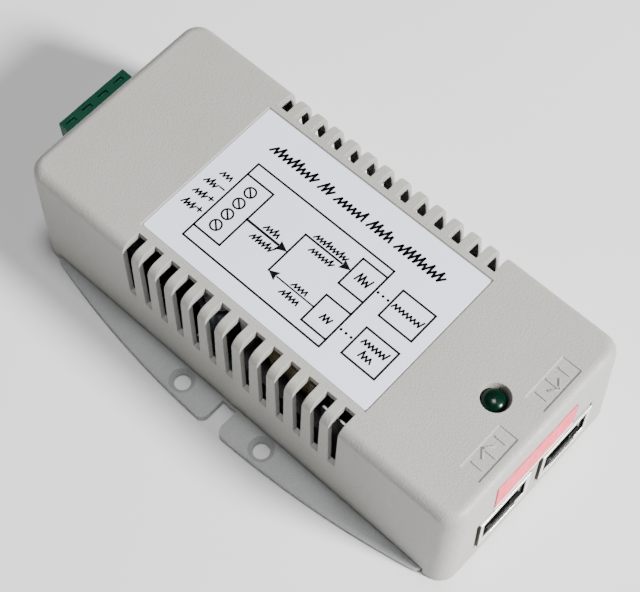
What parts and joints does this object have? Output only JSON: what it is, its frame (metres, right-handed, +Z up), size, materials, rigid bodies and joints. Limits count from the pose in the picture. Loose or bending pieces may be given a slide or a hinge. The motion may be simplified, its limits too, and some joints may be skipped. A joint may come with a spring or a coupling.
{
  "type": "poe injector",
  "caption": "Power-over-Ethernet injector: slotted plastic case with mounting ears, two shielded network jacks, a status lamp and a pull-off screw terminal.",
  "frame": {"origin": "on the underside, in the middle of the case between its end walls", "axes": "+Z up out of the top cover, +Y from the network jacks to the power terminal, +X to the output jack's side"},
  "size_m": [0.071, 0.1324, 0.0338],
  "materials": {
    "case_plastic": "light grey moulded plastic with a fine matt texture",
    "plate_plastic": "grey moulded plastic with a fine matt texture",
    "label_film": "bluish white printed film, satin",
    "sticker_paper": "pink paper, matt and slightly mottled",
    "board_laminate": "dark green solder mask",
    "tinned_metal": "bright tin plate",
    "black_plastic": "black moulded plastic",
    "contact_gold": "gold flash on sprung wire",
    "led_epoxy": "clear green epoxy, glossy",
    "terminal_plastic": "green moulded plastic, satin",
    "zinc_steel": "zinc plated steel",
    "screw_steel": "black passivated steel",
    "ferrite": "dark grey sintered ferrite, matt",
    "winding_tape": "olive polyester tape, satin",
    "copper_winding": "enamelled copper wire",
    "capacitor_sleeve": "dark blue heat-shrink sleeve",
    "sink_aluminium": "extruded aluminium",
    "white_plastic": "white moulded box"
  },
  "bodies": {
    "case": {"top_cover": "case_plastic", "base_plate": "plate_plastic", "diagram_label": "label_film", "front_sticker": "sticker_paper", "circuit_board": "board_laminate", "status_led": "led_epoxy", "led_spacer": "black_plastic", "terminal_header": "terminal_plastic", "transformer_core": "ferrite", "transformer_bobbin": "black_plastic", "transformer_coil": "winding_tape", "input_choke": "copper_winding", "output_choke": "copper_winding", "film_capacitor": "white_plastic", "output_heatsink": "sink_aluminium", "output_rectifier": "black_plastic", "input_heatsink": "sink_aluminium", "input_mosfet": "black_plastic", "control_chip": "black_plastic", "optocoupler": "black_plastic", "data_filter": "black_plastic", "input_fuse": "white_plastic", "case_screw_1": "screw_steel", "header_pin_1": "tinned_metal", "case_screw_2": "screw_steel", "header_pin_2": "tinned_metal", "case_screw_3": "screw_steel", "header_pin_3": "tinned_metal", "case_screw_4": "screw_steel", "header_pin_4": "tinned_metal", "jack_in_shield": "tinned_metal", "jack_in_insert": "black_plastic", "jack_in_contacts": "contact_gold", "jack_out_shield": "tinned_metal", "jack_out_insert": "black_plastic", "jack_out_contacts": "contact_gold", "input_capacitor_1": "capacitor_sleeve", "input_capacitor_2": "capacitor_sleeve", "output_capacitor_1": "capacitor_sleeve", "output_capacitor_2": "capacitor_sleeve", "output_capacitor_3": "capacitor_sleeve"},
    "terminal_plug": {"plug_housing": "terminal_plastic", "plug_contact_1": "tinned_metal", "plug_contact_2": "tinned_metal", "plug_contact_3": "tinned_metal", "plug_contact_4": "tinned_metal"},
    "screw_1": {"terminal_screw_1": "zinc_steel"},
    "clamp_1": {"clamp_cage_1": "zinc_steel"},
    "screw_2": {"terminal_screw_2": "zinc_steel"},
    "clamp_2": {"clamp_cage_2": "zinc_steel"},
    "screw_3": {"terminal_screw_3": "zinc_steel"},
    "clamp_3": {"clamp_cage_3": "zinc_steel"},
    "screw_4": {"terminal_screw_4": "zinc_steel"},
    "clamp_4": {"clamp_cage_4": "zinc_steel"}
  },
  "joints": [
    {"name": "plug_slide", "type": "slide", "parent": "case", "child": "terminal_plug", "axis": [0, 1, 0], "range_m": [0, 0.015]},
    {"name": "screw_1_turn", "type": "hinge", "parent": "terminal_plug", "child": "screw_1", "pos_m": [-0.0075, 0.0651, 0.0205], "axis": [0, 0, -1], "range_deg": [0, 1440]},
    {"name": "clamp_1_lift", "type": "slide", "parent": "terminal_plug", "child": "clamp_1", "axis": [0, 0, 1], "range_m": [0, 0.002]},
    {"name": "screw_2_turn", "type": "hinge", "parent": "terminal_plug", "child": "screw_2", "pos_m": [-0.0025, 0.0651, 0.0205], "axis": [0, 0, -1], "range_deg": [0, 1440]},
    {"name": "clamp_2_lift", "type": "slide", "parent": "terminal_plug", "child": "clamp_2", "axis": [0, 0, 1], "range_m": [0, 0.002]},
    {"name": "screw_3_turn", "type": "hinge", "parent": "terminal_plug", "child": "screw_3", "pos_m": [0.0025, 0.0651, 0.0205], "axis": [0, 0, -1], "range_deg": [0, 1440]},
    {"name": "clamp_3_lift", "type": "slide", "parent": "terminal_plug", "child": "clamp_3", "axis": [0, 0, 1], "range_m": [0, 0.002]},
    {"name": "screw_4_turn", "type": "hinge", "parent": "terminal_plug", "child": "screw_4", "pos_m": [0.0075, 0.0651, 0.0205], "axis": [0, 0, -1], "range_deg": [0, 1440]},
    {"name": "clamp_4_lift", "type": "slide", "parent": "terminal_plug", "child": "clamp_4", "axis": [0, 0, 1], "range_m": [0, 0.002]}
  ],
  "couplings": [
    {"joint": "screw_1_turn", "follows": "clamp_1_lift", "rad_per_m": 12566},
    {"joint": "screw_2_turn", "follows": "clamp_2_lift", "rad_per_m": 12566},
    {"joint": "screw_3_turn", "follows": "clamp_3_lift", "rad_per_m": 12566},
    {"joint": "screw_4_turn", "follows": "clamp_4_lift", "rad_per_m": 12566}
  ]
}
